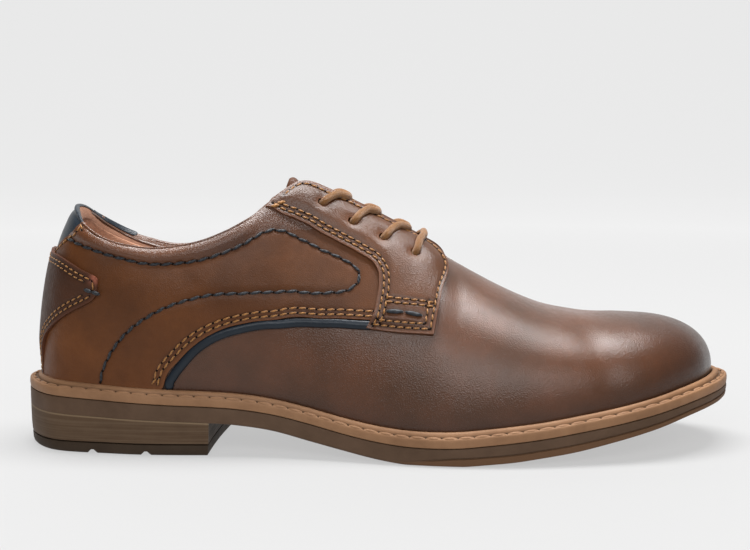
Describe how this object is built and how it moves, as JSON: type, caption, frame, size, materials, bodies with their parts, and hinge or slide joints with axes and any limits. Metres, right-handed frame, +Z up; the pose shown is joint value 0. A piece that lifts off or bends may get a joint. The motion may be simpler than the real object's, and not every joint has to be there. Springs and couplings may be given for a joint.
{
  "type": "derby shoe",
  "caption": "Lace-up plain-toe derby shoe for the right foot in brown leather, with open lace facings, navy heel tab and piping, a tan welt and a low-heeled rubber sole.",
  "frame": {"origin": "on the floor under the middle of the shoe's bounding box", "axes": "+X from heel to toe, +Y from the outer to the inner side of the foot, +Z up"},
  "size_m": [0.305, 0.1075, 0.1141],
  "materials": {
    "quarter_leather": "smooth brown leather, semi-gloss",
    "vamp_leather": "burnished dark brown leather, semi-gloss",
    "counter_leather": "dark brown leather, worn edges",
    "navy_leather": "navy leather, matt",
    "tongue_leather": "brown leather",
    "insole_leather": "tan lining leather, matt",
    "waxed_cord": "waxed round cord",
    "tan_welt": "tan moulded welt, matt",
    "taupe_rubber": "taupe rubber, matt",
    "dark_rubber": "dark taupe rubber, matt"
  },
  "bodies": {
    "root": {"outsole": "taupe_rubber", "heel_block": "taupe_rubber", "heel_top_lift": "dark_rubber", "welt": "tan_welt", "insole": "insole_leather", "upper": "vamp_leather", "quarter_outer": "quarter_leather", "quarter_inner": "quarter_leather", "eyestay_outer": "quarter_leather", "eyestay_inner": "quarter_leather", "counter_patch": "counter_leather", "heel_tab": "navy_leather", "piping_outer": "navy_leather", "piping_inner": "navy_leather", "tongue": "tongue_leather", "lace_bar": "waxed_cord", "lace_cross_1": "waxed_cord", "lace_cross_2": "waxed_cord", "lace_cross_3": "waxed_cord"}
  },
  "joints": []
}
